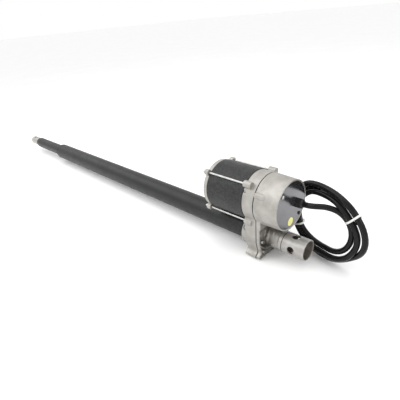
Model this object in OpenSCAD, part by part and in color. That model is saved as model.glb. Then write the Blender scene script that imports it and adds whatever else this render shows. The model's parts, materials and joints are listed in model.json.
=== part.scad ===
// Heavy-duty electric linear actuator: a motor beside the tube drives a lead
// screw through two gear stages, and the screw pushes a rod out of the tube.
// Frame: origin on the tube axis in the middle of the rear cross bores, +X along
// the stroke towards the rod end, +Z up to the motor, millimetres.

/* [Tube and rod] */

// outside diameter of the outer tube
tube_d = 50.8; // [40:0.1:80]
// wall of the outer tube
tube_wall = 2.5; // [1.5:0.1:5]
// x of the outer tube's open end
tube_end_x = 972; // [500:1:1400]
// outside diameter of the sliding rod tube
rod_d = 37; // [25:0.5:50]
// wall of the sliding rod tube
rod_wall = 3; // [2:0.1:6]
// full travel of the rod
stroke = 762; // [300:1:914]
// how far the rod stands out of its closed position
rod_out = 150; // [0:1:762]
// diameter of the bright rod-end fitting
rod_tip_d = 31; // [20:0.5:36]
// diameter of the cross bore in the rod end
rod_bore_d = 12.7; // [8:0.1:20]

/* [Screw and gears] */

// outside diameter of the lead screw
screw_d = 20; // [14:0.5:28]
// teeth on the motor pinion
z_pinion = 14; // [13:1:20]
// teeth on the large intermediate gear
z_idler = 50; // [30:1:60]
// teeth on the small intermediate gear
z_small = 15; // [14:1:20]
// teeth on the screw gear
z_screw = 29; // [24:1:40]
// module of the motor stage
m_fast = 1.25; // [1:0.25:2]
// module of the screw stage
m_slow = 2; // [1.5:0.25:3]

/* [Motor] */

// height of the motor axis above the tube axis
motor_z = 84; // [70:1:110]
// outside diameter of the motor can
can_d = 105; // [80:1:120]
// x of the joint between can and gearcase
can_x0 = 90; // [80:1:100]
// x of the joint between can and front cap
can_x1 = 180; // [140:1:220]
// thickness of the front cap
cap_t = 9; // [6:0.5:15]
// diameter of the tie rods
tie_d = 4; // [3:0.5:8]

/* [Gearcase] */

// x of the parting plane between the two castings
part_x = 64; // [50:1:80]
// width of the lower casting
case_w = 83; // [76:1:100]
// wall of the castings
case_wall = 3; // [2.5:0.5:6]
// depth of the foot below the tube axis
foot_z = 35; // [32:1:50]
// outside diameter of the rear housing at the parting plane
cup_d = 102; // [90:1:120]
// x of the rear housing's open rim
cup_x = 13; // [5:1:30]

/* [Rear mount] */

// outside diameter of the mount tube
mount_d = 42.4; // [30:0.1:60]
// inside diameter of the mount tube
mount_bore = 36.4; // [20:0.1:50]
// diameter of the cross bores
cross_d = 16; // [8:0.1:22]
// outside diameter of the bearing neck
neck_d = 40; // [34:0.5:50]

/* [Cable] */

// diameter of the supply cable
cable_d = 11; // [6:0.5:14]
// inner radius of the cable coil
coil_ri = 50.5; // [40:0.1:80]
// outer radius of the cable coil
coil_ro = 80; // [60:0.1:120]

/* [Hidden] */

$fn = 72;
fit = 0.05;                          // radial clearance of running and seating fits
alu = [0.78, 0.77, 0.74];
steel = [0.62, 0.63, 0.65];
black = [0.07, 0.07, 0.07];
copper = [0.72, 0.42, 0.22];
bronze = [0.66, 0.50, 0.26];

tube_r = tube_d / 2;
tube_ri = tube_r - tube_wall;
tube_x0 = can_x0 + 1;                // the tube stands against a step in the collar
collar_x = can_x0 + 18;
collar_r = tube_r + 6.6;
rod_r = rod_d / 2;
rod_ri = rod_r - rod_wall;
screw_r = screw_d / 2;
screw_x1 = collar_x + stroke + 55;   // free end of the screw
nut_x = collar_x + 7 + rod_out;      // rear face of the drive nut at rest
rod_x1 = tube_end_x + 52 + rod_out;  // end of the black rod tube at rest
tip_x = rod_x1 + 62;                 // tip of the rod end at rest
tip_bore_x = tip_x - 22;

// gear train: motor pinion, intermediate shaft, screw gear, all in one upright plane
a_slow = m_slow * (z_small + z_screw) / 2;
idler_z = a_slow;
case_cut_z = motor_z - 28;           // where the casting's flat sides meet the round

can_r = can_d / 2;
cup_r = cup_d / 2;
cup_floor = part_x - 8;              // inner floor of the rear housing
tie_r = can_r + 1.5 + tie_d / 2;     // pitch radius of the tie rods
cap_x = can_x1 + cap_t;
gland_y = -20.7;
gland_z = motor_z - 2.8;
plate_x = cup_x + 1;                 // outer face of the end plate

// supply cable: the lead's route from the gland to the coil, and the coil's stand
coil_c = [-36, -44.5, 44.5];         // centre of the coil
coil_lean = 91;                      // its axis leans this far from upright
coil_turn = -15;                     // and is swung about Z
coil_t = 8.9;                        // half thickness of the bundle
lead_pts = [[0.5, -20.7, 81.2], [-10, -21, 81.8], [-20.5, -23.3, 83.2], [-32, -27.8, 83.8],
            [-44, -32.4, 82.2], [-57, -35.8, 78], [-68, -36.8, 72], [-75.8, -35.8, 66.8],
            [-82, -33.7, 61.2], [-86.5, -32, 55]];

// ---------- shared shapes ----------

module rodx(x0, x1, r, y = 0, z = 0)
    translate([x0, y, z]) rotate([0, 90, 0]) cylinder(r = r, h = x1 - x0);

module ringx(x0, x1, ro, ri, y = 0, z = 0)
    difference() {
        rodx(x0, x1, ro, y, z);
        rodx(x0 - 1, x1 + 1, ri, y, z);
    }

// a turned shape: points are [radius, x]
module turned(pts, y = 0, z = 0)
    translate([0, y, z]) rotate([0, 90, 0]) rotate_extrude() polygon(pts);

// an outline in the YZ plane, extruded from x0 to x1
module platex(x0, x1)
    translate([x0, 0, 0]) rotate([90, 0, 90]) linear_extrude(x1 - x0) children();

module hexx(x0, x1, af, y = 0, z = 0)
    translate([x0, y, z]) rotate([0, 90, 0]) cylinder(d = af / cos(30), h = x1 - x0, $fn = 6);

// bearing balls on a circle of radius r in the plane x
module balls(x, r, d, n, z = 0)
    for (i = [0:n - 1])
        translate([x, r * sin(i * 360 / n), z + r * cos(i * 360 / n)]) sphere(d = d, $fn = 24);

// grooved bearing rings, width w from x0
module outer_ring(x0, w, ro, rm, ball_d, z = 0)
    translate([0, 0, z]) rotate([0, 90, 0]) rotate_extrude() difference() {
        translate([rm + ball_d * 0.22, x0]) square([ro - rm - ball_d * 0.22, w]);
        translate([rm, x0 + w / 2]) circle(d = ball_d + 0.1, $fn = 32);
    }

module inner_ring(x0, w, ri, rm, ball_d, z = 0)
    translate([0, 0, z]) rotate([0, 90, 0]) rotate_extrude() difference() {
        translate([ri, x0]) square([rm - ball_d * 0.22 - ri, w]);
        translate([rm, x0 + w / 2]) circle(d = ball_d + 0.1, $fn = 32);
    }

// ---------- involute gears ----------

function inv_deg(a) = tan(a) * 180 / PI - a;

// half angle of a tooth at radius r, with a little taken off for backlash
function tooth_half(z, m, r) =
    let (rp = m * z / 2, rb = rp * cos(20), q = max(r, rb))
    90 / z + inv_deg(20) - inv_deg(acos(rb / q)) - 0.05 * m / rp * 180 / PI;

function tooth_pts(z, m, a0) =
    let (rp = m * z / 2, rb = rp * cos(20), rr = rp - 1.1 * m, ra = rp + 0.8 * m,
         rs = [rr, max(rr + 0.01, rb), (rb + rp) / 2 + 0.1 * m, rp + 0.25 * m, ra])
    concat([for (i = [0:4]) let (h = a0 + tooth_half(z, m, rs[i])) rs[i] * [sin(h), cos(h)]],
           [for (i = [4:-1:0]) let (h = a0 - tooth_half(z, m, rs[i])) rs[i] * [sin(h), cos(h)]]);

// gear outline with a tooth centred on +Z, or turned by a0 degrees
module gear2d(z, m, a0 = 0)
    polygon([for (k = [z - 1:-1:0]) each tooth_pts(z, m, a0 + k * 360 / z)]);

// ---------- castings ----------

module at_corners(r) // the four tie-rod places around the motor axis
    for (a = [45:90:315]) translate([r * sin(a), motor_z + r * cos(a)]) children();

module case_outline() {
    w = case_w / 2;
    translate([0, motor_z]) circle(r = cup_r + 0.5);
    polygon([[w, case_cut_z], [w, 2], [w - 6, -21], [w - 5, -25], [w + 1, -29.5], [w + 1, -foot_z],
             [-1 - w, -foot_z], [-1 - w, -29.5], [5 - w, -25], [6 - w, -21], [-w, 2], [-w, case_cut_z]]);
}

module gear_room() {
    circle(r = m_slow * z_screw / 2 + m_slow + 0.6);
    translate([0, idler_z]) circle(r = m_fast * z_idler / 2 + m_fast + 1);
    translate([0, motor_z]) circle(r = 13);
}

// places of the case bolts: low corners, flat sides, and beside the motor
bolt_yz = [[31, -19], [36, 6], [47 * sin(60), motor_z + 47 * cos(60)]];

module at_bolts()
    for (p = bolt_yz, s = [-1, 1]) translate([s * p[0], p[1]]) children();

module gearcase_front()
    color(alu) difference() {
        union() {
            platex(part_x + 0.5, can_x0) case_outline();
            platex(can_x0 - 17, can_x0) at_corners(tie_r) circle(r = 7, $fn = 40);
            rodx(can_x0 - 1, collar_x, collar_r);
            turned([[0, can_x0 - 1], [collar_r + 5, can_x0 - 1], [collar_r, can_x0 + 6], [0, can_x0 + 6]]);
        }
        platex(part_x - 1, can_x0 - 8) gear_room();
        rodx(tube_x0, collar_x + 1, tube_r + fit);
        rodx(can_x0, collar_x + 1, can_r + 0.4, 0, motor_z);
        rodx(can_x0 - 10, can_x0 + 2, 14);
        rodx(can_x0 - 9, can_x0 - 2, 8, 0, idler_z);
        rodx(can_x0 - 9, can_x0 + 1, 13, 0, motor_z);
        platex(can_x0 - 14, can_x0 + 1) at_corners(tie_r) circle(d = tie_d);
        for (s = [-1, 1]) {
            for (i = [0, 1]) rodx(part_x - 1, can_x0 - 7, 2.5, s * bolt_yz[i][0], bolt_yz[i][1]);
            rodx(part_x - 1, can_x0 + 1, 2.5, s * bolt_yz[2][0], bolt_yz[2][1]);
            rodx(can_x0 - 6, can_x0 + 1, 4.6, s * bolt_yz[2][0], bolt_yz[2][1]);
        }
        for (s = [-1, 1]) rotate([-58 * s, 0, 0]) translate([collar_x - 8, 0, tube_r - 0.3]) {
            cylinder(r = 4, h = 10);
            translate([0, 0, 3.8]) cylinder(r = 5.4, h = 10);
        }
    }

module gearcase_rear() {
    w = case_w / 2;
    color(alu) difference() {
        union() {
            platex(part_x - 10, part_x - 0.5) case_outline();
            turned([[0, cup_x + 3], [cup_r - 1.6, cup_x + 0.6], [cup_r - 1.2, cup_x], [cup_r - 1, cup_x + 0.8],
                    [cup_r + 0.5, part_x - 10], [cup_r + 0.5, part_x - 1], [0, part_x - 1]], 0, motor_z);
            rodx(29.5, part_x - 9, neck_d / 2);
            turned([[0, part_x - 14], [neck_d / 2, part_x - 14], [neck_d / 2 + 5, part_x - 9], [0, part_x - 9]]);
            for (s = [-1, 1], p = [[8, 22, -1], [30, -4, 1]])    // ribs from the neck
                translate([part_x - 22, s * p[0], p[1]]) rotate([s * (p[2] > 0 ? 100 : 35), 0, 0])
                    translate([0, -1.5, -12]) cube([13, 3, 26]);
            for (s = [-1, 1]) intersection() {                    // blind bosses by the motor
                translate([part_x - 17, s * bolt_yz[2][0] * 1.03, motor_z + 47 * cos(60) * 1.03])
                    rotate([0, 90, 0]) union() { cylinder(r = 6.5, h = 16); sphere(r = 6.5); }
                rodx(cup_x, part_x - 1, cup_r + 3.4, 0, motor_z);
            }
        }
        difference() {                                           // room for the switch gear
            rodx(cup_x + 3.6, cup_floor, cup_r - 6, 0, motor_z);
            rodx(cup_floor - 8, cup_floor + 1, 11, 0, idler_z);
            for (a = [45, 225]) rodx(cup_x + 3, cup_x + 18, 5.5, 40.5 * sin(a), motor_z + 40.5 * cos(a));
            for (p = [[-20, 14], [20, 14], [0, -24]]) rodx(cup_floor - 12, cup_floor + 1, 4, p[0], motor_z + p[1]);
        }
        rodx(cup_x - 1, cup_x + 3.6, cup_r - 3.9, 0, motor_z);
        platex(part_x - 5, part_x + 1) gear_room();
        rodx(28, part_x - 4, 16);
        rodx(part_x - 13, part_x - 4, 8, 0, idler_z);
        rodx(cup_floor + 1, part_x + 1, 11, 0, motor_z);
        rodx(cup_floor - 1, part_x, 6, 0, motor_z);
        for (s = [-1, 1]) {
            for (i = [0, 1]) rodx(part_x - 12, part_x + 1, 2.8, s * bolt_yz[i][0], bolt_yz[i][1]);
            rodx(part_x - 14, part_x + 1, 2.5, s * bolt_yz[2][0], bolt_yz[2][1]);
        }
        platex(part_x - 11, part_x - 8) {                        // shallow pockets of the rear face
            for (s = [-1, 1]) {
                polygon([[s * 27, -2], [s * 38, -3], [s * 35.5, -12], [s * 26, -10]]);
                polygon([[s * 26, 13], [s * 38.5, 13], [s * 38.5, 28], [s * 21, 28]]);
            }
            polygon([[-20, -27.5], [20, -27.5], [24, -32], [-24, -32]]);
        }
        for (a = [45, 225]) rodx(cup_x + 3, cup_x + 14, 2, 40.5 * sin(a), motor_z + 40.5 * cos(a));
        for (p = [[-20, 14], [20, 14], [0, -24]]) rodx(cup_floor - 13, cup_floor - 4, 1.5, p[0], motor_z + p[1]);
    }
}

module case_gasket()
    color([0.25, 0.25, 0.25]) difference() {
        union() {
            platex(part_x - 0.5, part_x + 0.5) case_outline();
            translate([part_x - 0.5, -case_w / 2, 30]) cube([1, case_w, 30]);
        }
        platex(part_x - 1, part_x + 1) {
            gear_room();
            at_bolts() circle(r = 3, $fn = 32);
        }
    }

// socket-head screw along X: shank to +X from the head's face at x
module screwx(x, len, d, y, z)
    difference() {
        union() {
            rodx(x, x + len, d / 2, y, z);
            rodx(x - d, x, d * 0.8, y, z);
        }
        hexx(x - d - 1, x - d * 0.4, d * 0.8, y, z);
    }

module case_bolts()
    color(steel) {
        for (s = [-1, 1], i = [0, 1]) screwx(part_x - 10, 22, 5, s * bolt_yz[i][0], bolt_yz[i][1]);
        for (s = [-1, 1]) translate([2 * can_x0 - 6, 0, 0]) mirror([1, 0, 0])
            screwx(can_x0, 30, 5, s * bolt_yz[2][0], bolt_yz[2][1]);
    }

// ---------- outer tube and its end ----------

module outer_tube()
    color(black) difference() {
        ringx(tube_x0, tube_end_x, tube_r, tube_ri);
        end_screw_holes(2.5);
    }

module end_screw_holes(r)
    for (a = [80, 200, 320]) rotate([-a, 0, 0]) translate([tube_end_x - 8, 0, tube_ri - 6])
        cylinder(r = r, h = 10);

module collar_screws()
    color(steel) for (s = [-1, 1]) rotate([-58 * s, 0, 0]) translate([collar_x - 8, 0, tube_r + 0.1])
        difference() {
            cylinder(r = 4, h = 5.5);
            translate([0, 0, 3]) cylinder(d = 4 / cos(30), h = 4, $fn = 6);
        }

module guide_bush()
    color(bronze) ringx(tube_end_x - 46, tube_end_x - 24, tube_ri, rod_r + fit);

module tube_end_cap()
    color(black) difference() {
        turned([[rod_r + 0.4, tube_end_x - 24], [tube_ri, tube_end_x - 24], [tube_ri, tube_end_x],
                [tube_r, tube_end_x], [tube_r, tube_end_x + 3], [tube_r - 3, tube_end_x + 6.5],
                [rod_r + 3, tube_end_x + 6.5], [rod_r + 3, tube_end_x + 1], [rod_r + 0.4, tube_end_x + 1]]);
        end_screw_holes(2.5);
    }

module rod_wiper()
    color([0.12, 0.12, 0.12]) turned([[rod_r + fit, tube_end_x + 1.1], [rod_r + 2.9, tube_end_x + 1.1],
        [rod_r + 2.9, tube_end_x + 6], [rod_r + 0.9, tube_end_x + 6], [rod_r + fit, tube_end_x + 7]]);

module end_cap_screws()
    color(black) for (a = [80, 200, 320]) rotate([-a, 0, 0])
        translate([tube_end_x - 8, 0, tube_ri - 3.5]) difference() {
            cylinder(r = 2.45, h = 5.7);
            translate([0, 0, 3.5]) cylinder(d = 2.5 / cos(30), h = 4, $fn = 6);
        }

// ---------- motor, fixed parts ----------

module motor_can()
    color(black) ringx(can_x0, can_x1, can_r, can_r - 3, 0, motor_z);

module motor_magnets()
    color([0.2, 0.2, 0.2]) for (a = [10:90:280])
        translate([can_x0 + 10, 0, motor_z]) rotate([a, 0, 0]) rotate([0, 90, 0])
            rotate_extrude(angle = 70) translate([can_r - 9, 0]) square([5.95, 50]);

module motor_front_cap()
    color(alu) difference() {
        union() {
            platex(can_x1, cap_x) {
                translate([0, motor_z]) circle(r = can_r - 0.5);
                at_corners(tie_r) circle(r = 6.2, $fn = 40);
            }
            rodx(can_x1 - 3, can_x1 + 1, can_r - 3.05, 0, motor_z);
            turned([[0, cap_x - 1], [20, cap_x - 1], [17, cap_x + 3], [0, cap_x + 3]], 0, motor_z);
        }
        rodx(can_x1 - 4, can_x1 + 4, can_r - 8, 0, motor_z);
        rodx(can_x1 - 4, cap_x - 1, 11, 0, motor_z);
        platex(can_x1 - 1, cap_x + 1) at_corners(tie_r) circle(d = tie_d + 0.3);
    }

module tie_rods()
    color(steel) platex(can_x0 - 14, cap_x + 7) at_corners(tie_r) circle(d = tie_d);

module tie_rod_nuts()
    color(steel) for (a = [45:90:315]) difference() {
        hexx(cap_x, cap_x + 3.4, 7, tie_r * sin(a), motor_z + tie_r * cos(a));
        rodx(cap_x - 1, cap_x + 5, tie_d / 2, tie_r * sin(a), motor_z + tie_r * cos(a));
    }

brush_x = can_x1 - 16;               // brush gear over the commutator

module brush_holder()
    color([0.35, 0.2, 0.12]) difference() {
        union() {
            ringx(brush_x, brush_x + 3, can_r - 3.5, 15, 0, motor_z);
            for (a = [0:90:270]) translate([brush_x, 0, motor_z]) rotate([a, 0, 0])
                translate([0, -6, 18]) cube([12, 12, 18]);
        }
        for (a = [0:90:270]) translate([brush_x + 3, 0, motor_z]) rotate([a, 0, 0])
            translate([0, -4, 12]) cube([7, 8, 30]);
    }

module brushes()
    color([0.15, 0.15, 0.16]) for (a = [0:90:270]) translate([brush_x + 3.1, 0, motor_z])
        rotate([a, 0, 0]) translate([0, -3.9, 13.6]) cube([6.8, 7.8, 17]);

module rotor_bearing_outers()
    color(steel) {
        outer_ring(cup_floor + 1, 7, 11, 7.5, 4, motor_z);
        outer_ring(can_x0 - 8, 8, 13, 8.7, 5, motor_z);
        outer_ring(cap_x - 8, 7, 11, 7.5, 4, motor_z);
    }

module rotor_bearing_balls()
    color(steel) {
        balls(cup_floor + 4.5, 7.5, 4, 7, motor_z);
        balls(can_x0 - 4, 8.7, 5, 7, motor_z);
        balls(cap_x - 4.5, 7.5, 4, 7, motor_z);
    }

module idler_bushes()
    color(bronze) {
        ringx(part_x - 13, part_x - 4.5, 8, 5 + fit, 0, idler_z);
        ringx(can_x0 - 8, can_x0 - 2, 8, 5 + fit, 0, idler_z);
    }

module screw_bush()
    color(bronze) ringx(can_x0 - 8, can_x0 + 1, 14, screw_r + fit);

module screw_bearing_outers()
    color(steel) for (x = [part_x - 23.95, part_x - 14.95]) outer_ring(x, 8.9, 16, 11.75, 5, 0);

module screw_bearing_balls()
    color(steel) for (x = [part_x - 19.5, part_x - 10.5]) balls(x, 11.75, 5, 9);

// ---------- rear mount ----------

module mount_tube()
    color(alu) difference() {
        turned([[0, 22], [mount_bore / 2, 22], [mount_bore / 2, -25.2], [mount_bore / 2 + 0.6, -26],
                [mount_d / 2 - 0.8, -26], [mount_d / 2, -25.2], [mount_d / 2, 28], [mount_d / 2 - 1, 29],
                [15.95, 29], [15.95, part_x - 24], [12, part_x - 24], [12, 26.5], [0, 26.5]]);
        translate([0, 0, -40]) cylinder(d = cross_d, h = 80);
        rotate([90, 0, 0]) translate([0, 0, -40]) cylinder(d = cross_d, h = 80);
    }

// ---------- rear housing ----------

module end_plate()
    color(black) difference() {
        rodx(plate_x, plate_x + 2, cup_r - 4, 0, motor_z);
        rodx(plate_x - 1, plate_x + 3, 7.5, gland_y, gland_z);
        for (a = [45, 225]) rodx(plate_x - 1, plate_x + 3, 2.2, 40.5 * sin(a), motor_z + 40.5 * cos(a));
    }

module end_plate_gasket()
    color([0.2, 0.2, 0.2]) ringx(plate_x + 2, plate_x + 2.6, cup_r - 4, cup_r - 6, 0, motor_z);

module end_plate_screws()
    color(steel) for (a = [45, 225]) translate([0, 40.5 * sin(a), motor_z + 40.5 * cos(a)]) difference() {
        union() {
            rodx(plate_x, plate_x + 9, 1.95);
            turned([[0, plate_x - 2.2], [2.4, plate_x - 2.2], [3.8, plate_x - 0.8], [3.8, plate_x], [0, plate_x]]);
        }
        translate([plate_x - 3, -0.5, -2.4]) cube([1.8, 1, 4.8]);
        translate([plate_x - 3, -2.4, -0.5]) cube([1.8, 4.8, 1]);
    }

module gland_body()
    color(black) difference() {
        union() {
            rodx(plate_x - 8, plate_x + 9, 7.4, gland_y, gland_z);
            hexx(plate_x - 3.5, plate_x, 18, gland_y, gland_z);
        }
        rodx(plate_x - 9, plate_x + 10, cable_d / 2, gland_y, gland_z);
    }

module gland_dome_nut()
    color(black) difference() {
        union() {
            hexx(plate_x - 10, plate_x - 3.7, 18, gland_y, gland_z);
            turned([[0, plate_x - 13.5], [6.9, plate_x - 13.5], [8.1, plate_x - 12.6],
                    [8.8, plate_x - 10], [0, plate_x - 10]], gland_y, gland_z);
        }
        rodx(plate_x - 15, plate_x - 3, cable_d / 2, gland_y, gland_z);
        rodx(plate_x - 8.5, plate_x - 3, 7.4, gland_y, gland_z);
    }

module gland_locknut()
    color(black) difference() {
        hexx(plate_x + 2, plate_x + 6, 20, gland_y, gland_z);
        rodx(plate_x, plate_x + 8, 7.4, gland_y, gland_z);
    }

module inspection_sticker()
    color([0.95, 0.93, 0.35]) rodx(plate_x - 0.2, plate_x, 8.5, 1, motor_z - 34);

module sensor_board()
    color([0.08, 0.3, 0.14]) difference() {
        ringx(cup_floor - 13.6, cup_floor - 12, 34, 15, 0, motor_z);
        for (p = [[-20, 14], [20, 14], [0, -24]]) rodx(cup_floor - 15, cup_floor - 11, 1.6, p[0], motor_z + p[1]);
    }

module sensor_board_screws()
    color(steel) for (p = [[-20, 14], [20, 14], [0, -24]]) {
        rodx(cup_floor - 13.6, cup_floor - 5, 1.45, p[0], motor_z + p[1]);
        rodx(cup_floor - 15.4, cup_floor - 13.6, 2.8, p[0], motor_z + p[1]);
    }

module terminal_block()
    color([0.1, 0.35, 0.2]) translate([cup_floor - 25.6, -14, motor_z + 18]) difference() {
        cube([12, 28, 11]);
        for (i = [0:3]) translate([-1, 3.5 + i * 7, 3]) cube([8, 3.5, 5]);
    }

// ---------- cable ----------

function unit(v) = v / norm(v);

// a round tube swept along points, as one closed mesh
module sweep(pts, d, n = 10) {
    k = len(pts);
    rings = [for (i = [0:k - 1]) let (
        t = unit(pts[min(i + 1, k - 1)] - pts[max(i - 1, 0)]),
        u = unit(cross(t, [0, 0, 1])), v = cross(u, t))
        for (j = [0:n - 1]) pts[i] + d / 2 * (cos(j * 360 / n) * u + sin(j * 360 / n) * v)];
    polyhedron(rings, concat(
        [[for (j = [n - 1:-1:0]) j]],
        [for (i = [0:k - 2], j = [0:n - 1]) let (a = i * n + j, b = i * n + (j + 1) % n) [a, b, b + n, a + n]],
        [[for (j = [0:n - 1]) (k - 1) * n + j]]));
}

module cable_lead()
    color(black) sweep(lead_pts, cable_d);

module on_coil() translate(coil_c) rotate([0, 0, coil_turn]) rotate([coil_lean, 0, 0]) children();

module coil_section(grow = 0)
    translate([(coil_ri + coil_ro) / 2, 0]) polygon([for (a = [15:30:345])
        [((coil_ro - coil_ri) / 2 + grow) * max(-1, min(1, 1.12 * cos(a))), (coil_t + grow) * sin(a) / sin(75)]]);

module cable_coil()
    color(black) difference() {
        on_coil() rotate_extrude($fn = 96) coil_section();
        rodx(cup_x - 1.5, part_x, cup_r + 1.6, 0, motor_z);      // the turns lie flat where they pass the housing
    }

module cable_ties()
    color([0.92, 0.92, 0.9]) on_coil() for (a = [151, 329])
        rotate([0, 0, a]) rotate_extrude(angle = 3) difference() {
            coil_section(1.2);
            coil_section(0.05);
        }

// ---------- sliding rod ----------

module drive_nut()
    color(bronze) difference() {
        union() {
            rodx(nut_x, nut_x + 4, tube_ri - 0.4);
            rodx(nut_x, nut_x + 22, tube_ri - 3);
            rodx(nut_x + 18, nut_x + 22, tube_ri - 0.4);
            rodx(nut_x + 21, nut_x + 48, rod_ri);
        }
        rodx(nut_x - 1, nut_x + 49, screw_r + fit);
    }

module nut_guide_ring()
    color([0.85, 0.84, 0.78]) ringx(nut_x + 4, nut_x + 18, tube_ri - fit, tube_ri - 3);

module rod_tube()
    color(black) difference() {
        ringx(nut_x + 22, rod_x1, rod_r, rod_ri);
        for (x = [rod_x1 - 22, rod_x1 - 10]) translate([x, 0, 0]) rotate([90, 0, 0])
            translate([0, 0, -30]) cylinder(r = 2.5, h = 60);
    }

module rod_end()
    color(alu) difference() {
        turned([[0, rod_x1 - 30], [rod_ri, rod_x1 - 30], [rod_ri, rod_x1], [rod_tip_d / 2 + 1.2, rod_x1],
                [rod_tip_d / 2 + 1.2, rod_x1 + 5], [rod_tip_d / 2, rod_x1 + 6.5], [rod_tip_d / 2, tip_x - 4],
                [rod_tip_d / 2 - 4, tip_x], [0, tip_x]]);
        translate([tip_bore_x, 0, -30]) cylinder(d = rod_bore_d, h = 60);
        for (x = [rod_x1 - 22, rod_x1 - 10]) translate([x, 0, 0]) rotate([90, 0, 0])
            translate([0, 0, -30]) cylinder(r = 2.5, h = 60);
    }

module rod_end_pins()
    color(steel) for (x = [rod_x1 - 22, rod_x1 - 10]) translate([x, 0, 0]) rotate([90, 0, 0])
        translate([0, 0, 0.2 - rod_r]) cylinder(r = 2.5, h = rod_d - 0.4);

// ---------- turning parts ----------

module lead_screw()
    color(steel) turned([[0, 31], [6.5, 31], [7.5, 32], [7.5, part_x - 6], [screw_r, part_x - 6],
        [screw_r, screw_x1 - 1], [screw_r - 1, screw_x1], [5, screw_x1], [5, screw_x1 + 9], [0, screw_x1 + 9]]);

module screw_gear()
    color(steel) difference() {
        union() {
            platex(part_x - 3, part_x + 7) gear2d(z_screw, m_slow);
            rodx(part_x - 3, part_x + 9, 17);
        }
        rodx(part_x - 4, part_x + 10, screw_r);
    }

module screw_locknut()
    color(steel) difference() {
        rodx(32.5, part_x - 24, 11);
        rodx(32, part_x - 23, 7.5);
        for (a = [0:90:270]) rotate([a, 0, 0]) translate([31, -1.75, 9]) cube([10, 3.5, 4]);
    }

module screw_bearing_inners()
    color(steel) for (x = [part_x - 23.95, part_x - 14.95]) inner_ring(x, 8.9, 7.5, 11.75, 5, 0);

module screw_stop()
    color([0.85, 0.84, 0.78]) ringx(screw_x1 + 0.5, screw_x1 + 8, rod_ri - 0.3, 5);

module idler_shaft()
    color(steel) union() {
        rodx(part_x - 12.5, can_x0 - 2.5, 5, 0, idler_z);
        platex(part_x - 3.5, part_x + 7.5) translate([0, idler_z]) gear2d(z_small, m_slow);
        rodx(part_x + 7, part_x + 9, 11, 0, idler_z);
        rodx(part_x + 8, can_x0 - 9, 7, 0, idler_z);
    }

module idler_gear()
    color(steel) difference() {
        platex(part_x + 9.5, part_x + 16.5) translate([0, idler_z]) gear2d(z_idler, m_fast);
        rodx(part_x + 9, part_x + 17, 7, 0, idler_z);
        for (a = [0:60:300]) rodx(part_x + 9, part_x + 17, 5, 18 * sin(a), idler_z + 18 * cos(a));
    }

module rotor_shaft()
    color(steel) union() {
        rodx(cup_floor - 16, cup_floor + 8.5, 4, 0, motor_z);
        rodx(cup_floor + 8, cap_x - 1.5, 5, 0, motor_z);
        platex(part_x + 9, part_x + 17) translate([0, motor_z])
            gear2d(z_pinion, m_fast, 180 / z_pinion);
    }

module armature_core()
    color([0.4, 0.4, 0.42]) difference() {
        rodx(can_x0 + 11, can_x0 + 59, can_r - 9.8, 0, motor_z);
        rodx(can_x0 + 10, can_x0 + 60, 5, 0, motor_z);
        for (a = [0:30:330]) translate([can_x0 + 10, 0, motor_z]) rotate([a, 0, 0]) {
            translate([0, -1.2, 30]) cube([50, 2.4, 20]);
            translate([0, 0, 32]) rotate([0, 90, 0]) cylinder(r = 4.5, h = 50);
        }
    }

module armature_windings()
    color(copper) {
        for (x = [can_x0 + 3.5, can_x0 + 59])
            turned([[14, x], [34, x], [37, x + 3], [37, x + 7.5], [14, x + 7.5]], 0, motor_z);
        for (a = [0:30:330]) translate([can_x0 + 10.9, 0, motor_z]) rotate([a, 0, 0])
            translate([0, 0, 32]) rotate([0, 90, 0]) cylinder(r = 4.3, h = 48.2);
    }

module commutator()
    color(copper) difference() {
        union() {
            rodx(can_x1 - 17, can_x1 - 3, 13.5, 0, motor_z);
            rodx(can_x1 - 20, can_x1 - 17, 15, 0, motor_z);
        }
        rodx(can_x1 - 21, can_x1 - 2, 5, 0, motor_z);
        for (a = [0:30:330]) translate([can_x1 - 21, 0, motor_z]) rotate([a, 0, 0])
            translate([0, -0.4, 12.4]) cube([20, 0.8, 4]);
    }

module rotor_bearing_inners()
    color(steel) {
        inner_ring(cup_floor + 1, 7, 4, 7.5, 4, motor_z);
        inner_ring(can_x0 - 8, 8, 5, 8.7, 5, motor_z);
        inner_ring(cap_x - 8, 7, 5, 7.5, 4, motor_z);
    }

module sensor_magnet()
    color([0.25, 0.25, 0.28]) difference() {
        rodx(cup_floor - 15.5, cup_floor - 9.5, 11, 0, motor_z);
        rodx(cup_floor - 16.5, cup_floor - 8, 4, 0, motor_z);
    }

gearcase_front();
gearcase_rear();
case_gasket();
case_bolts();
outer_tube();
collar_screws();
guide_bush();
tube_end_cap();
rod_wiper();
end_cap_screws();
motor_can();
motor_magnets();
motor_front_cap();
tie_rods();
tie_rod_nuts();
brush_holder();
brushes();
rotor_bearing_outers();
rotor_bearing_balls();
idler_bushes();
screw_bush();
screw_bearing_outers();
screw_bearing_balls();
mount_tube();
end_plate();
end_plate_gasket();
end_plate_screws();
gland_body();
gland_dome_nut();
gland_locknut();
inspection_sticker();
sensor_board();
sensor_board_screws();
terminal_block();
cable_lead();
cable_coil();
cable_ties();
drive_nut();
nut_guide_ring();
rod_tube();
rod_end();
rod_end_pins();
lead_screw();
screw_gear();
screw_locknut();
screw_bearing_inners();
screw_stop();
idler_shaft();
idler_gear();
rotor_shaft();
armature_core();
armature_windings();
commutator();
rotor_bearing_inners();
sensor_magnet();
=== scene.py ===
import json
import math

import bmesh
import bpy
from mathutils import Matrix, Vector


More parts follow.
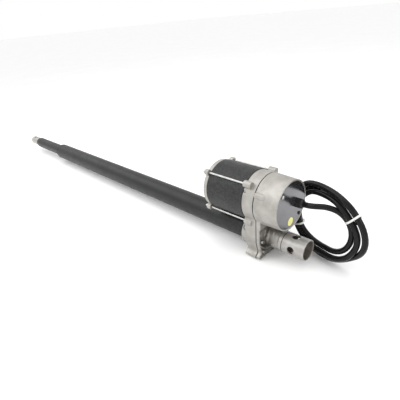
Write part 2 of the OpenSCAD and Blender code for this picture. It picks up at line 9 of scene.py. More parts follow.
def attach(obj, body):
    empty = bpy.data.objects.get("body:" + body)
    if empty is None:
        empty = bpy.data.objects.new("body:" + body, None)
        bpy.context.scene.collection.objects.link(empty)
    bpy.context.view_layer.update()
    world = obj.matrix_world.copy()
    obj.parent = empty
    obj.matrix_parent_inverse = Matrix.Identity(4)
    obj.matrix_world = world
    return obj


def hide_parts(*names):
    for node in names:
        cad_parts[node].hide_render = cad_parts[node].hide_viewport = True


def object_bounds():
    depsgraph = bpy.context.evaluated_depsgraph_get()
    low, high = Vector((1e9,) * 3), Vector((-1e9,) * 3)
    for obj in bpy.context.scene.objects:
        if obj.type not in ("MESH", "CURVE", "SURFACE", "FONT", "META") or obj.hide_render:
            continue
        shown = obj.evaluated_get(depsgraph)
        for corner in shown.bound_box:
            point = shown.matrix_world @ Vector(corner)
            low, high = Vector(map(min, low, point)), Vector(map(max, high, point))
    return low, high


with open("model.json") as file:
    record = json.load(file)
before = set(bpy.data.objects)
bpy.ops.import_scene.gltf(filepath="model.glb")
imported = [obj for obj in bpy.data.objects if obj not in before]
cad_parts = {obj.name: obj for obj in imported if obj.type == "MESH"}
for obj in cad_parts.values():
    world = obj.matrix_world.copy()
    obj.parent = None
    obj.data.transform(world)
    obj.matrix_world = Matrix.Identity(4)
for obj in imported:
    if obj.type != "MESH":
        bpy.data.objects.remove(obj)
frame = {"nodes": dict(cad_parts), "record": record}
cad_lo, cad_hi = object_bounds()
NODES = frame["nodes"]
BODY_OF = {n: b for b, ns in frame["record"]["behaviour"]["bodies"].items() for n in ns}
SLOT_OF = {s["node"]: s["material_slot"] for s in frame["record"]["subparts"]}
MM = 0.001
MOTOR_Z = 84 * MM
TUBE_END = 972.0                # where the outer tube ends, in mm

# ---------- camera ----------

CAM_AT = Vector((-0.280, 0.500, 0.407))
CAM_RIGHT = Vector((-0.7102, -0.6992, -0.0833))
CAM_UP = Vector((0.2766, -0.3858, 0.8801))
CAM_BACK = Vector((-0.6475, 0.6020, 0.4673))

cam_data = bpy.data.cameras.new("camera")
cam_data.lens = 31.5
cam_data.sensor_width = 36.0
cam_data.clip_start = 0.01
cam_data.clip_end = 60.0
cam = bpy.data.objects.new("camera", cam_data)
bpy.context.scene.collection.objects.link(cam)
cam.matrix_world = (Matrix.Translation(CAM_AT)
                    @ Matrix((CAM_RIGHT, CAM_UP, CAM_BACK)).transposed().to_4x4())
bpy.context.scene.camera = cam

# ---------- procedural materials ----------


def new_material(name):
    m = bpy.data.materials.new(name)
    m.use_nodes = True
    nt = m.node_tree
    nt.nodes.clear()
    out = nt.nodes.new("ShaderNodeOutputMaterial")
    bsdf = nt.nodes.new("ShaderNodeBsdfPrincipled")
    nt.links.new(bsdf.outputs["BSDF"], out.inputs["Surface"])
    return m, nt, bsdf


def coords(nt, stretch=(1, 1, 1)):
    tc = nt.nodes.new("ShaderNodeTexCoord")
    mp = nt.nodes.new("ShaderNodeMapping")
    mp.inputs["Scale"].default_value = stretch
    nt.links.new(tc.outputs["Object"], mp.inputs["Vector"])
    return mp.outputs["Vector"]


def noise(nt, vec, scale, detail):
    n = nt.nodes.new("ShaderNodeTexNoise")
    n.inputs["Scale"].default_value = scale
    n.inputs["Detail"].default_value = detail
    n.inputs["Roughness"].default_value = 0.55
    nt.links.new(vec, n.inputs["Vector"])
    return n.outputs["Fac"]


def remap(nt, fac, lo, hi, a=0.3, b=0.7):
    """lo where the factor is a, hi where it is b, and held at those outside them."""
    r = nt.nodes.new("ShaderNodeMapRange")
    r.inputs["From Min"].default_value = a
    r.inputs["From Max"].default_value = b
    r.inputs["To Min"].default_value = lo
    r.inputs["To Max"].default_value = hi
    nt.links.new(fac, r.inputs["Value"])
    return r.outputs["Result"]


def ramp(nt, fac, stops):
    """A colour that depends on the factor: stops are two (place, colour) pairs, blended in between."""
    r = nt.nodes.new("ShaderNodeValToRGB")
    for element, (place, colour) in zip(r.color_ramp.elements, stops):
        element.position = place
        element.color = (*colour, 1.0)
    nt.links.new(fac, r.inputs["Fac"])
    return r.outputs["Color"]


def mix(nt, fac, under, tint):
    """The colour under, turned into the tint as far as the factor says."""
    x = nt.nodes.new("ShaderNodeMix")
    x.data_type = "RGBA"
    factor, below, above, result = x.inputs[0], x.inputs[6], x.inputs[7], x.outputs[2]
    nt.links.new(fac, factor)
    nt.links.new(under, below)
    above.default_value = (*tint, 1.0)
    return result


def product(nt, factors):
    """All the factors multiplied together."""
    result = factors[0]
    for factor in factors[1:]:
        times = nt.nodes.new("ShaderNodeMath")
        times.operation = "MULTIPLY"
        nt.links.new(result, times.inputs[0])
        nt.links.new(factor, times.inputs[1])
        result = times.outputs[0]
    return result


def bump(nt, height, strength, distance):
    b = nt.nodes.new("ShaderNodeBump")
    b.inputs["Strength"].default_value = strength
    b.inputs["Distance"].default_value = distance
    nt.links.new(height, b.inputs["Height"])
    return b.outputs["Normal"]


def edges(nt, lo, hi):
    """0 where the surface's pointiness is lo, 1 where it is hi. It is high on corners, low in hollows."""
    g = nt.nodes.new("ShaderNodeNewGeometry")
    return remap(nt, g.outputs["Pointiness"], 0.0, 1.0, lo, hi)


MATS = {}                       # every finish by its name


def surface(name, dark, light, metallic, rough, grain, blotch, depth=0.00006, strength=0.35,
            stretch=(1, 1, 1), wear=None, hollow_shade=None, spec=0.5):
    """A finish: two blended tones, roughness that varies, fine relief, worn edges and painted shade in the
    hollows.

    blotch and grain are noise scales per metre, depth is the relief in metres, and rough is a range.
    """
    m, nt, bsdf = new_material(name)
    vec = coords(nt)
    fine = coords(nt, stretch)
    col = ramp(nt, noise(nt, vec, blotch, 5.0), [(0.32, dark), (0.68, light)])
    # painted shade: the colour darkens towards the given tint where the pointiness is low, in hollows and
    # creases
    if hollow_shade is not None:
        col = mix(nt, edges(nt, 0.49, 0.42), col, hollow_shade)
    if wear is not None:
        worn = edges(nt, 0.54, 0.62)
        scuff = remap(nt, noise(nt, vec, blotch * 7, 3.0), 0.0, 1.0, 0.42, 0.60)
        col = mix(nt, product(nt, [worn, scuff]), col, wear)
    nt.links.new(col, bsdf.inputs["Base Color"])
    nt.links.new(remap(nt, noise(nt, vec, blotch * 2.3, 4.0), *rough), bsdf.inputs["Roughness"])
    nt.links.new(bump(nt, noise(nt, fine, grain, 3.0), strength, depth), bsdf.inputs["Normal"])
    bsdf.inputs["Metallic"].default_value = metallic
    bsdf.inputs["Specular IOR Level"].default_value = spec
    MATS[name] = m


TURNED = (1.0, 0.02, 0.02)      # grain of rings round X
DRAWN = (0.02, 1.0, 1.0)        # grain along X

surface("cast_alu", (0.34, 0.325, 0.30), (0.44, 0.425, 0.40), 0.72, (0.44, 0.60), 1300, blotch=55,
        depth=0.00012, strength=0.45, hollow_shade=(0.085, 0.075, 0.06), wear=(0.56, 0.55, 0.53))
surface("turned_alu", (0.38, 0.365, 0.345), (0.47, 0.46, 0.44), 0.80, (0.42, 0.54), 2600, blotch=90,
        depth=0.00003, stretch=TURNED, hollow_shade=(0.12, 0.10, 0.075))
surface("black_tube", (0.009, 0.009, 0.0095), (0.014, 0.014, 0.0145), 0.0, (0.36, 0.48), 1500,
        blotch=30, depth=0.00004, strength=0.18, wear=(0.07, 0.07, 0.07), spec=0.32)
surface("black_can", (0.014, 0.014, 0.0145), (0.021, 0.021, 0.0215), 0.0, (0.42, 0.54), 1700,
        blotch=40, depth=0.00004, strength=0.18, wear=(0.08, 0.08, 0.08), spec=0.30)
surface("gloss_plate", (0.17, 0.17, 0.18), (0.21, 0.21, 0.22), 0.90, (0.16, 0.24), 500, blotch=35,
        depth=0.00002, strength=0.10, spec=0.4)
surface("bright_steel", (0.44, 0.44, 0.43), (0.58, 0.58, 0.565), 1.0, (0.24, 0.36), 2600,
        blotch=160, depth=0.00002, stretch=DRAWN, hollow_shade=(0.14, 0.13, 0.12))
surface("dull_steel", (0.20, 0.195, 0.185), (0.31, 0.30, 0.29), 0.95, (0.36, 0.50), 2200,
        blotch=120, depth=0.00003, hollow_shade=(0.09, 0.08, 0.07))
surface("gear_steel", (0.36, 0.355, 0.35), (0.52, 0.52, 0.52), 1.0, (0.24, 0.38), 2400, blotch=120,
        depth=0.00002, hollow_shade=(0.10, 0.08, 0.05))
surface("black_steel", (0.012, 0.012, 0.012), (0.024, 0.024, 0.024), 0.3, (0.30, 0.42), 1500,
        blotch=120, wear=(0.15, 0.15, 0.15), spec=0.35)
surface("bronze", (0.42, 0.27, 0.11), (0.60, 0.42, 0.20), 1.0, (0.28, 0.42), 2200, blotch=110,
        depth=0.00003, stretch=TURNED)
surface("copper", (0.42, 0.14, 0.05), (0.66, 0.28, 0.12), 1.0, (0.25, 0.40), 2600, blotch=140,
        depth=0.00008, strength=0.5)
surface("ferrite", (0.035, 0.035, 0.038), (0.07, 0.07, 0.075), 0.1, (0.55, 0.72), 1800, blotch=90)
surface("laminations", (0.10, 0.10, 0.105), (0.22, 0.22, 0.225), 0.9, (0.34, 0.5), 1900, blotch=120,
        depth=0.00015, strength=0.6, stretch=TURNED)
surface("rubber_black", (0.010, 0.010, 0.010), (0.018, 0.018, 0.018), 0.0, (0.62, 0.78), 1500,
        blotch=90, spec=0.25)
surface("nylon_black", (0.007, 0.007, 0.008), (0.013, 0.013, 0.014), 0.0, (0.28, 0.40), 1800,
        blotch=120, depth=0.00003, spec=0.32)
surface("cable_jacket", (0.0035, 0.0035, 0.004), (0.0075, 0.0075, 0.008), 0.0, (0.15, 0.24), 420,
        blotch=45, depth=0.00010, strength=0.22, spec=0.20)
surface("nylon_white", (0.70, 0.70, 0.67), (0.80, 0.80, 0.78), 0.0, (0.36, 0.48), 1800, blotch=150,
        depth=0.00003)
surface("acetal", (0.66, 0.65, 0.58), (0.76, 0.75, 0.70), 0.0, (0.36, 0.5), 2200, blotch=110,
        stretch=TURNED)
surface("phenolic", (0.12, 0.05, 0.02), (0.22, 0.10, 0.045), 0.0, (0.40, 0.55), 1500, blotch=130)
surface("carbon", (0.02, 0.02, 0.022), (0.05, 0.05, 0.055), 0.3, (0.45, 0.6), 2600, blotch=200)
surface("board_green", (0.01, 0.09, 0.03), (0.02, 0.15, 0.06), 0.0, (0.28, 0.4), 900, blotch=220)
surface("terminal_green", (0.015, 0.20, 0.08), (0.03, 0.28, 0.12), 0.0, (0.35, 0.48), 1500,
        blotch=160)
surface("sticker_yellow", (0.78, 0.73, 0.20), (0.86, 0.82, 0.30), 0.0, (0.30, 0.42), 900,
        blotch=200, depth=0.00002)


def base_color(material):
    """The material's node tree, its shader's colour input, and what feeds that input so far."""
    nt = material.node_tree
    bsdf = next(n for n in nt.nodes if n.type == "BSDF_PRINCIPLED")
    into = bsdf.inputs["Base Color"]
    return nt, into, into.links[0].from_socket


def object_place(nt):
    """The place in the part's frame, as one vector and as its X, Y and Z."""
    whole = nt.nodes.new("ShaderNodeTexCoord").outputs["Object"]
    split = nt.nodes.new("ShaderNodeSeparateXYZ")
    nt.links.new(whole, split.inputs["Vector"])
    return whole, split.outputs


def off_axis(nt, whole):
    """The distance from the X axis."""
    flat = nt.nodes.new("ShaderNodeVectorMath")
    flat.operation = "MULTIPLY"
    flat.inputs[1].default_value = (0, 1, 1)
    nt.links.new(whole, flat.inputs[0])
    size = nt.nodes.new("ShaderNodeVectorMath")
    size.operation = "LENGTH"
    nt.links.new(flat.outputs["Vector"], size.inputs[0])
    return size.outputs["Value"]


def rises(nt, value, a, b):
    """0 up to a, 1 from b on."""
    return remap(nt, value, 0.0, 1.0, a, b)


def falls(nt, value, a, b):
    """1 up to a, 0 from b on."""
    return remap(nt, value, 1.0, 0.0, a, b)


def paint_bore_shade(material, radius, x_max, tint):
    """Painted shade: a dull, darker tone on the material where it lines the mount tube's bore, which lies
    in shade.
    """
    nt, into, old = base_color(material)
    whole, axes = object_place(nt)
    near = falls(nt, off_axis(nt, whole), radius, radius + 0.6 * MM)
    rear = falls(nt, axes["X"], x_max, x_max + 1.0 * MM)
    nt.links.new(mix(nt, product(nt, [near, rear]), old, tint), into)


def shade_in_box(material, lo, hi, clear_r, tint, amount):
    """Painted shade on the material inside a box in the part's frame, in patches, except within clear_r of
    the X axis.
    """
    nt, into, old = base_color(material)
    whole, axes = object_place(nt)
    soft = 2.0 * MM                                         # half the width of the box's faded sides
    factors = [rises(nt, off_axis(nt, whole), clear_r, clear_r + 3.0 * MM)]
    for axis, a, b in zip("XYZ", lo, hi):
        factors.append(rises(nt, axes[axis], a - soft, a + soft))
        factors.append(falls(nt, axes[axis], b - soft, b + soft))
    factors.append(remap(nt, noise(nt, whole, 160.0, 3.0), amount * 0.6, amount, 0.35, 0.6))
    nt.links.new(mix(nt, product(nt, factors), old, tint), into)


def joint_dirt_and_shade(material, x, width, tint):
    """A narrow dark band round the X axis at this x: dirt in the mount tube's joint, and painted shade at
    the outer tube's open end.
    """
    nt, into, old = base_color(material)
    axes = object_place(nt)[1]
    near = rises(nt, axes["X"], x - width, x - width * 0.5)
    past = falls(nt, axes["X"], x + width * 0.5, x + width)
    nt.links.new(mix(nt, product(nt, [near, past]), old, tint), into)


# painted shade on the cast faces round the mount tube's neck, between x 30 and 55.5 mm, where they lie in
# shadow
shade_in_box(MATS["cast_alu"], lo=(0.030, -0.06, -0.033), hi=(0.0555, 0.06, 0.034), clear_r=0.0205,
      tint=(0.05, 0.045, 0.038), amount=0.85)
# painted shade inside the mount tube's bore, in a darker brownish grey
paint_bore_shade(MATS["turned_alu"], 18.4 * MM, 28 * MM, (0.22, 0.195, 0.175))
joint_dirt_and_shade(MATS["turned_alu"], 21.0 * MM, 1.0 * MM, (0.05, 0.042, 0.034))
# the outer tube gets its own copy of the black paint, with painted shade: a dark band at its open end,
# where the rod tube goes in
MATS["tube_finish"] = MATS["black_tube"].copy()
joint_dirt_and_shade(MATS["tube_finish"], (TUBE_END - 2.5) * MM, 3.0 * MM, (0.003, 0.003, 0.003))

for node, ob in NODES.items():
    ob.data.materials.clear()
    ob.data.materials.append(MATS[SLOT_OF[node]])

# ---------- mesh helpers ----------

WELD = 0.002 * MM               # points of a CAD mesh that lie closer than this are one point


def settle(ob):
    """Gives the object the mesh that its modifiers make, and removes them."""
    done = bpy.data.meshes.new_from_object(ob.evaluated_get(bpy.context.evaluated_depsgraph_get()))
    ob.modifiers.clear()
    ob.data = done
    return done


def add_mesh(name, bm, mat, body, smooth_deg, weighted=False):
    """A new piece made of the mesh, smooth up to the angle, in its material and on its body."""
    me = bpy.data.meshes.new(name)
    bmesh.ops.recalc_face_normals(bm, faces=bm.faces[:])
    bm.to_mesh(me)
    bm.free()
    ob = bpy.data.objects.new(name, me)
    bpy.context.scene.collection.objects.link(ob)
    me.polygons.foreach_set("use_smooth", [True] * len(me.polygons))
    me.set_sharp_from_angle(angle=math.radians(smooth_deg))
    me.materials.append(MATS[mat])
    if weighted:
        even = ob.modifiers.new("even", "WEIGHTED_NORMAL")
        even.keep_sharp = True
        settle(ob)
    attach(ob, body)
    return ob


def bevel_sharp(bm, width, angle):
    """Rounds every edge sharper than the angle."""
    sharp = [e for e in bm.edges if len(e.link_faces) == 2
             and e.calc_face_angle(0.0) > math.radians(angle)]
    if sharp:
        bmesh.ops.bevel(bm, geom=sharp, offset=width, offset_type="OFFSET", segments=2,
                        profile=0.5, affect="EDGES", clamp_overlap=True)


def mesh_of(node):
    """The CAD node's mesh, its triangles joined at their corners."""
    bm = bmesh.new()
    bm.from_mesh(NODES[node].data)
    bmesh.ops.remove_doubles(bm, verts=bm.verts[:], dist=WELD)
    return bm


def refine(node, width, name=None, keep=None, mat=None):
    """The node's own shape, or the part of it to keep, with its facets merged and its edges rounded."""
    bm = mesh_of(node)
    if keep is not None:
        bmesh.ops.delete(bm, geom=[v for v in bm.verts if not keep(v.co)], context="VERTS")
    bmesh.ops.dissolve_limit(bm, angle_limit=math.radians(0.4), verts=bm.verts[:], edges=bm.edges[:])
    bevel_sharp(bm, width, 32.0)
    ob = add_mesh(name or node + "_v", bm, mat or SLOT_OF[node], BODY_OF[node], 50.0, weighted=True)
    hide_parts(node)
    return ob


def drill(ob, holes):
    """Cuts round holes, each given as its middle, axis, radius and depth in mm."""
    cutters = []
    for at, axis, radius, depth in holes:
        bm = bmesh.new()
        bmesh.ops.create_cone(bm, cap_ends=True, segments=32, radius1=radius * MM, radius2=radius * MM,
                              depth=depth * MM)
        turn = Vector((0, 0, 1)).rotation_difference(Vector(axis)).to_matrix().to_4x4()
        bm.transform(Matrix.Translation(Vector(at) * MM) @ turn)
        me = bpy.data.meshes.new("cutter")
        bm.to_mesh(me)
        bm.free()
        cutter = bpy.data.objects.new("cutter", me)
        bpy.context.scene.collection.objects.link(cutter)
        cutters.append(cutter)
        cut = ob.modifiers.new("drill", "BOOLEAN")
        cut.operation = "DIFFERENCE"
        cut.solver = "EXACT"
        cut.object = cutter
    settle(ob)
    for cutter in cutters:
        bpy.data.objects.remove(cutter)


def lathe(node, profile, z=0.0, holes=()):
    """A turned wall: the closed profile of (x, radius) in mm swept round X at height z, then drilled."""
    segments = 128
    sharp_deg = 30
    turn = [2 * math.pi * k / segments for k in range(segments)]
    bm = bmesh.new()
    rings = [[bm.verts.new((x * MM, r * MM * math.sin(a), z + r * MM * math.cos(a))) for a in turn]
             for x, r in profile]
    for ring, after in zip(rings, rings[1:] + rings[:1]):
        for k in range(segments):
            beside = (k + 1) % segments
            bm.faces.new((ring[k], ring[beside], after[beside], after[k]))
    ob = add_mesh(node + "_v", bm, SLOT_OF[node], BODY_OF[node], sharp_deg)
    if holes:
        drill(ob, holes)
        ob.data.set_sharp_from_angle(angle=math.radians(sharp_deg))
    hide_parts(node)
    return ob


# ---------- supply cable: lead, coil and ties ----------

CABLE_R = 5.5 * MM
COIL_AT = Vector((-36, -44.5, 44.5)) * MM
COIL = (Matrix.Translation(COIL_AT) @ Matrix.Rotation(math.radians(-15), 4, "Z")
        @ Matrix.Rotation(math.radians(91), 4, "X"))
# the lead's own points, in mm; those of part.scad lie up to 3.2 mm off its route
LEAD = [(0.5, -20.7, 81.2), (-10, -21, 81.8), (-21, -23.2, 83), (-33, -27.7, 84), (-45, -31.7, 83.4)]
GLAND_INSIDE = (7.5, -20.7, 81.2)       # the cable starts inside its gland
SPAN_POINTS = 4                         # route points for each span of the lead
TURN_STEP = 6                           # degrees between route points of the turns, about
EASE_PASSES = 10
# along the coil: angle in its own plane in degrees, radius and offset along its axis in mm
TURNS = [(124, 43.4, -4.3), (138, 46.2, -1), (151, 48.7, 1.2), (164, 51.1, 2), (180, 53.7, 2),
         (200, 56.3, 1.2), (220, 57.9, 0.4), (240, 58.1, 0.4), (255, 57.6, 1), (268, 57, 1.4),
         (285, 58, 0.2), (307, 60.5, -3.2), (329, 65.5, -5), (345, 69, -5), (360, 70.8, -4.4),
         (375, 70.8, -3), (390, 68.6, -0.8), (403, 65.2, -0.2), (416, 61.2, -1.4), (430, 57.6, -3.6),
         (446, 55.5, -5), (463, 54.6, -5), (480, 54.5, -4.8), (495, 56, -4.6), (511, 59.5, -4.5),
         (525, 63.8, -3.4), (540, 67.8, -1.4), (555, 70, -0.9), (570, 71.3, -3.2), (583, 71.8, -5.2),
         (596, 70.6, -6.4), (610, 67.8, -7), (628, 64.4, -7.2), (645, 66.8, -7), (667, 71.5, -6.2),
         (689, 77.5, -5.2), (705, 81, -5), (720, 83, -5), (745, 84.3, -5), (765, 82.8, -5),
         (775, 80.3, -5), (790, 74.3, -5), (806, 69.8, -5), (823, 68.4, -5), (838, 69, -4.8),
         (855, 71.5, -3.8), (871, 75, -3), (885, 79, -1.5), (900, 82.3, 0), (912, 82.6, 1.5),
         (925, 80.2, 4.2), (941, 76.3, 5.6), (956, 75.6, 4.6), (970, 75.8, 2), (988, 74.5, -0.6),
         (1007, 76.5, 0.2), (1027, 79, 4.2), (1049, 78.4, 5.9), (1080, 77.5, 5.8), (1115, 75.8, 6.8),
         (1135, 69.8, 6.4), (1150, 64.6, 6.3), (1170, 59.8, 6.2), (1190, 58.4, 6.2), (1205, 59.4, 6.2),
         (1222, 62.6, 6.3), (1231, 64.8, 6.4), (1239, 66.4, 6.5)]
START, LAST = TURNS[1][0], TURNS[-1][0]     # the angles between which the turns follow the rows


def on_coil(deg, r, t):
    """The point at an angle, radius and offset in the coil's own frame."""
    a = math.radians(deg)
    return COIL @ Vector((r * math.cos(a) * MM, r * math.sin(a) * MM, t * MM))


def catmull(p, i, u):
    """The point a share u of the way from p[i] to p[i + 1], on a smooth curve through the points."""
    a, b, c, d = (p[max(0, min(len(p) - 1, i + k))] for k in (-1, 0, 1, 2))
    return 0.5 * ((2 * b) + (c - a) * u + (2 * a - 5 * b + 4 * c - d) * u * u
                  + (3 * b - a - 3 * c + d) * u ** 3)


def turn_at(deg):
    """Radius and axial offset of the winding at an angle, smoothly between the listed ones."""
    i = max(k for k in range(len(TURNS) - 1) if TURNS[k][0] <= deg or k == 0)
    near, far = TURNS[i], TURNS[i + 1]

    def slope(k, col):
        lo, hi = TURNS[max(0, k - 1)], TURNS[min(len(TURNS) - 1, k + 1)]
        return (hi[col] - lo[col]) / (hi[0] - lo[0])

    w = far[0] - near[0]
    u = (deg - near[0]) / w
    h = (2 * u ** 3 - 3 * u ** 2 + 1, u ** 3 - 2 * u ** 2 + u, 3 * u ** 2 - 2 * u ** 3, u ** 3 - u ** 2)
    return [h[0] * near[c] + h[1] * w * slope(i, c) + h[2] * far[c] + h[3] * w * slope(i + 1, c)
            for c in (1, 2)]


def cable_route():
    """The cable's centreline: from inside the gland along the lead, then round the coil."""
    chain = [Vector(p) * MM for p in (GLAND_INSIDE, *LEAD)] + [on_coil(*k) for k in TURNS[:3]]
    spans = len(chain) - 2
    route = [catmull(chain, i, k / SPAN_POINTS) for i in range(spans) for k in range(SPAN_POINTS)]
    steps = int((LAST - START) / TURN_STEP)
    for k in range(steps + 1):
        deg = START + k * (LAST - START) / steps
        route.append(on_coil(deg, *turn_at(min(deg, LAST - 0.01))))
    joined = SPAN_POINTS * spans                # where the lead runs into the first turn
    eased = range(joined - 12, joined + 9)      # the stretch to ease there, most in its middle
    for _ in range(EASE_PASSES):
        moved = []
        for n, i in enumerate(eased, 1):
            share = 0.5 * math.sin(math.pi * n / (len(eased) + 1)) ** 2
            moved.append(route[i] + ((route[i - 1] + route[i + 1]) / 2 - route[i]) * share)
        route[eased.start:eased.stop] = moved
    return route


route = cable_route()
cable_curve = bpy.data.curves.new("supply_cable", "CURVE")
cable_curve.dimensions = "3D"
spline = cable_curve.splines.new("POLY")
spline.points.add(len(route) - 1)
for p, v in zip(spline.points, route):
    p.co = (*v, 1.0)
cable_curve.bevel_depth = CABLE_R
cable_curve.bevel_resolution = 8
cable_curve.use_fill_caps = True
cable = bpy.data.objects.new("supply_cable", cable_curve)
bpy.context.scene.collection.objects.link(cable)
cable_curve.materials.append(MATS["cable_jacket"])
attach(cable, "housing")
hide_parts("cable_lead", "cable_coil")


def hull2d(points):
    """The corners of the points' convex outline, in order round it."""
    pts = sorted(set(points))

    def half(seq):
        out = []
        for p in seq:
            while len(out) > 1 and ((out[-1][0] - out[-2][0]) * (p[1] - out[-2][1])
                                    - (out[-1][1] - out[-2][1]) * (p[0] - out[-2][0])) <= 0:
                out.pop()
            out.append(p)
        return out[:-1]
    return half(pts) + half(reversed(pts))


# a tie, in mm: the band, its ratchet head and the cut end of its tail
TIE_HALF = 2.1                          # half the band's width
TIE_THICK = 1.3
TIE_EDGE = 0.4                          # the band's outer face is this much narrower on each side
TIE_GAP = 0.25                          # between the cable and the band
HEAD_UP, HEAD_SIZE = 1.9, (6.4, 4.2, 7.0)
TAIL_UP, TAIL_SIZE = 1.6, (5.0, 1.2, 4.4)


def cable_tie(name, deg, slant=0.0, tail=-5.2):
    """A nylon tie pulled round the turns that pass at this angle: band, ratchet head and cut tail."""
    strands = [turn_at(d) for d in range(deg, LAST, 360)]
    middle = sum(p[0] for p in strands) / len(strands)
    grow = CABLE_R / MM + TIE_GAP
    ring = hull2d([(r + grow * math.cos(a), t + grow * math.sin(a)) for r, t in strands
                   for a in [math.radians(x) for x in range(0, 360, 10)]])

    def at(r, t, s):
        a = math.radians(deg + slant * (r - middle))
        along = Vector((-math.sin(a), math.cos(a), 0))
        return COIL @ ((Vector((r * math.cos(a), r * math.sin(a), t)) + along * s) * MM)

    cr = sum(p[0] for p in ring) / len(ring)
    ct = sum(p[1] for p in ring) / len(ring)
    bm = bmesh.new()
    rows = []
    for r, t in ring:
        out = Vector((r - cr, t - ct)).normalized() * TIE_THICK
        corners = (at(r, t, -TIE_HALF), at(r + out.x, t + out.y, -TIE_HALF + TIE_EDGE),
                   at(r + out.x, t + out.y, TIE_HALF - TIE_EDGE), at(r, t, TIE_HALF))
        rows.append([bm.verts.new(corner) for corner in corners])
    for row, after in zip(rows, rows[1:] + rows[:1]):
        for k in range(4):
            beside = (k + 1) % 4
            bm.faces.new((row[k], after[k], after[beside], row[beside]))
    top = max(ring, key=lambda p: (p[1], p[0]))     # the ratchet head sits on the far side of the bundle
    axes = [(at(*q) - at(top[0], top[1], 0)) / MM for q in
            ((top[0] + 1, top[1], 0), (top[0], top[1] + 1, 0), (top[0], top[1], 1))]

    def block(dr, dt, size):
        place = at(top[0] + dr, top[1] + dt, 0)
        for v in bmesh.ops.create_cube(bm, size=1.0)["verts"]:
            x, y, z = v.co
            v.co = place + (axes[0] * x * size[0] + axes[1] * y * size[1] + axes[2] * z * size[2]) * MM

    block(0, HEAD_UP, HEAD_SIZE)
    block(tail, TAIL_UP, TAIL_SIZE)
    bevel_sharp(bm, 0.35 * MM, 50)
    ob = add_mesh(name, bm, "nylon_white", "housing", 40)
    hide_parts("cable_ties")
    return ob


tie_a = cable_tie("cable_tie_a", 151, slant=-0.3)
tie_b = cable_tie("cable_tie_b", 334, tail=5.2)

# ---------- castings: rounded like real ones ----------


def casting(node, voxel, smooth_steps):
    """The cast shape with its edges and corners filleted: copied, remeshed, relaxed and thinned out."""
    bm = mesh_of(node)
    me = bpy.data.meshes.new(node + "_cast")
    bm.to_mesh(me)
    bm.free()
    ob = bpy.data.objects.new(node + "_v", me)
    bpy.context.scene.collection.objects.link(ob)
    remesh = ob.modifiers.new("remesh", "REMESH")
    remesh.mode = "VOXEL"
    remesh.voxel_size = voxel
    remesh.use_smooth_shade = True
    relax = ob.modifiers.new("smooth", "SMOOTH")
    relax.factor = 0.5
    relax.iterations = smooth_steps
    thin = ob.modifiers.new("decimate", "DECIMATE")
    thin.ratio = 0.35
    done = settle(ob)
    done.polygons.foreach_set("use_smooth", [True] * len(done.polygons))
    done.materials.clear()
    done.materials.append(MATS[SLOT_OF[node]])
    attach(ob, BODY_OF[node])
    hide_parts(node)
    return ob


VOXEL = 0.7 * MM
casting("gearcase_front", VOXEL, 3)
casting("gearcase_rear", VOXEL, 3)
casting("motor_front_cap", VOXEL, 2)

# ---------- the tubes and the can: clean turned walls, so their long highlights stay unbroken ----------

# in mm, with radii for the outsides and the bores
TUBE_START, TUBE_R, TUBE_BORE = 91, 25.4, 22.9
NUT_X = 265.0                           # the drive nut's rear face at rest
ROD_START = NUT_X + 22
ROD_R, ROD_BORE = 18.5, 15.5
ROD_STUB = 52                           # the rod tube's length outside the outer tube when it is fully in
ROD_OUT = 150                           # how far it is out in the photo
ROD_END = TUBE_END + ROD_STUB + ROD_OUT
CAN_START, CAN_END, CAN_R, CAN_BORE = 90, 180, 52.5, 49.5
HOLE_R = 2.5                            # of the screws and pins that go through the tubes' walls
SCREW_BACK = 8                          # from the tube's end to its end cap screws


def screw_hole(deg):
    """An end cap screw's hole through the wall, at this angle round the outer tube from its top."""
    out = (0, math.sin(math.radians(deg)), math.cos(math.radians(deg)))
    return (TUBE_END - SCREW_BACK, 25 * out[1], 25 * out[2]), out, HOLE_R, 14


tube = lathe("outer_tube", [(TUBE_START, 25), (TUBE_START + 0.4, TUBE_R), (TUBE_END - 14, TUBE_R),
                            (TUBE_END - 3, TUBE_R), (TUBE_END - 0.5, TUBE_R), (TUBE_END, 24.9),
                            (TUBE_END, TUBE_BORE), (TUBE_END - 3, TUBE_BORE), (TUBE_END - 14, TUBE_BORE),
                            (TUBE_START, TUBE_BORE)],
             holes=[screw_hole(deg) for deg in (80, 200, 320)])
# the black paint with the painted shade band at the tube's end
tube.data.materials[0] = MATS["tube_finish"]
lathe("rod_tube", [(ROD_START, ROD_R), (ROD_END - 28, ROD_R), (ROD_END - 4, ROD_R), (ROD_END - 1, 18.2),
                   (ROD_END, 17.4), (ROD_END, ROD_BORE), (ROD_END - 4, ROD_BORE), (ROD_END - 28, ROD_BORE),
                   (ROD_START, ROD_BORE)],
      holes=[((ROD_END - back, 0, 0), (0, 1, 0), HOLE_R, 60) for back in (22, 10)])
lathe("motor_can", [(CAN_START, 52), (CAN_START + 0.6, CAN_R), (CAN_END - 0.6, CAN_R), (CAN_END, 52),
                    (CAN_END, CAN_BORE), (CAN_START, CAN_BORE)], z=MOTOR_Z)

# ---------- machined and moulded parts: their edges rounded ----------

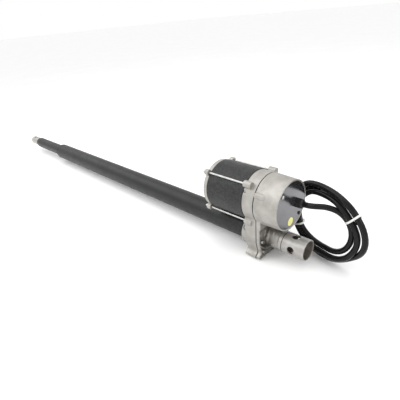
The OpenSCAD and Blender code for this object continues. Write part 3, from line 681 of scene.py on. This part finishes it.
refine("end_plate_screws", 0.15 * MM, name="end_plate_screw_a", keep=lambda c: c.z > MOTOR_Z)
refine("tie_rods", 0.4 * MM)
bolts = refine("case_bolts", 0.25 * MM)
bolts.data.materials[0] = MATS["dull_steel"]
# the lower screw is coloured near black, much darker than the bright upper one of the same pair
refine("end_plate_screws", 0.15 * MM, name="end_plate_screw_b", keep=lambda c: c.z < MOTOR_Z,
       mat="black_steel")
for node, width in (("tube_end_cap", 0.4), ("mount_tube", 0.35), ("end_plate", 0.25),
                    ("gland_body", 0.4), ("gland_dome_nut", 0.45), ("collar_screws", 0.25),
                    ("tie_rod_nuts", 0.3), ("rod_end", 0.4), ("end_cap_screws", 0.2),
                    ("inspection_sticker", 0.05), ("rod_wiper", 0.15)):
    refine(node, width * MM)

# ---------- floor and light ----------

FLOOR_HALF = 30.0                       # metres from its middle to its edge
FLOOR_MIDDLE = 0.4                      # metres along X
FLOOR_GAP = 0.4 * MM                    # the floor lies this much below the CAD's lowest point

floor_white, nt, bsdf = new_material("floor_white")
off_white = [(0.3, (0.95, 0.95, 0.95)), (0.7, (0.97, 0.97, 0.97))]
nt.links.new(ramp(nt, noise(nt, coords(nt), 3.0, 2.0), off_white), bsdf.inputs["Base Color"])
bsdf.inputs["Roughness"].default_value = 0.9
bsdf.inputs["Specular IOR Level"].default_value = 0.1
bm = bmesh.new()
bmesh.ops.create_grid(bm, x_segments=1, y_segments=1, size=FLOOR_HALF)
me = bpy.data.meshes.new("floor")
bm.to_mesh(me)
bm.free()
floor = bpy.data.objects.new("floor", me)
floor.location = (FLOOR_MIDDLE, 0, cad_lo.z - FLOOR_GAP)
me.materials.append(floor_white)
bpy.context.scene.collection.objects.link(floor)


def area(name, at, aim, size, power):
    """A square light at a place, turned to aim at another: metres and watts."""
    lamp = bpy.data.lights.new(name, "AREA")
    lamp.shape = "SQUARE"
    lamp.size = size
    lamp.energy = power
    ob = bpy.data.objects.new(name, lamp)
    ob.location = at
    ob.rotation_mode = "QUATERNION"
    ob.rotation_quaternion = (Vector(aim) - Vector(at)).to_track_quat("-Z", "Y")
    bpy.context.scene.collection.objects.link(ob)


area("key", (0.9, 1.3, 1.6), (0.15, 0, 0), 1.1, 10)
area("left_fill", (1.6, 0.4, 1.2), (0.3, 0, 0), 1.2, 7)
area("rear_soft", (-1.4, 0.1, 1.1), (0.0, 0, 0.05), 0.8, 4)
area("top", (0.2, -0.3, 1.9), (0.2, 0, 0), 1.6, 10)

world = bpy.data.worlds.new("studio")
bpy.context.scene.world = world
world.use_nodes = True
background = world.node_tree.nodes["Background"]
background.inputs["Color"].default_value = (1.0, 1.0, 1.0, 1.0)
background.inputs["Strength"].default_value = 1.0
bpy.context.scene.view_settings.view_transform = "Standard"
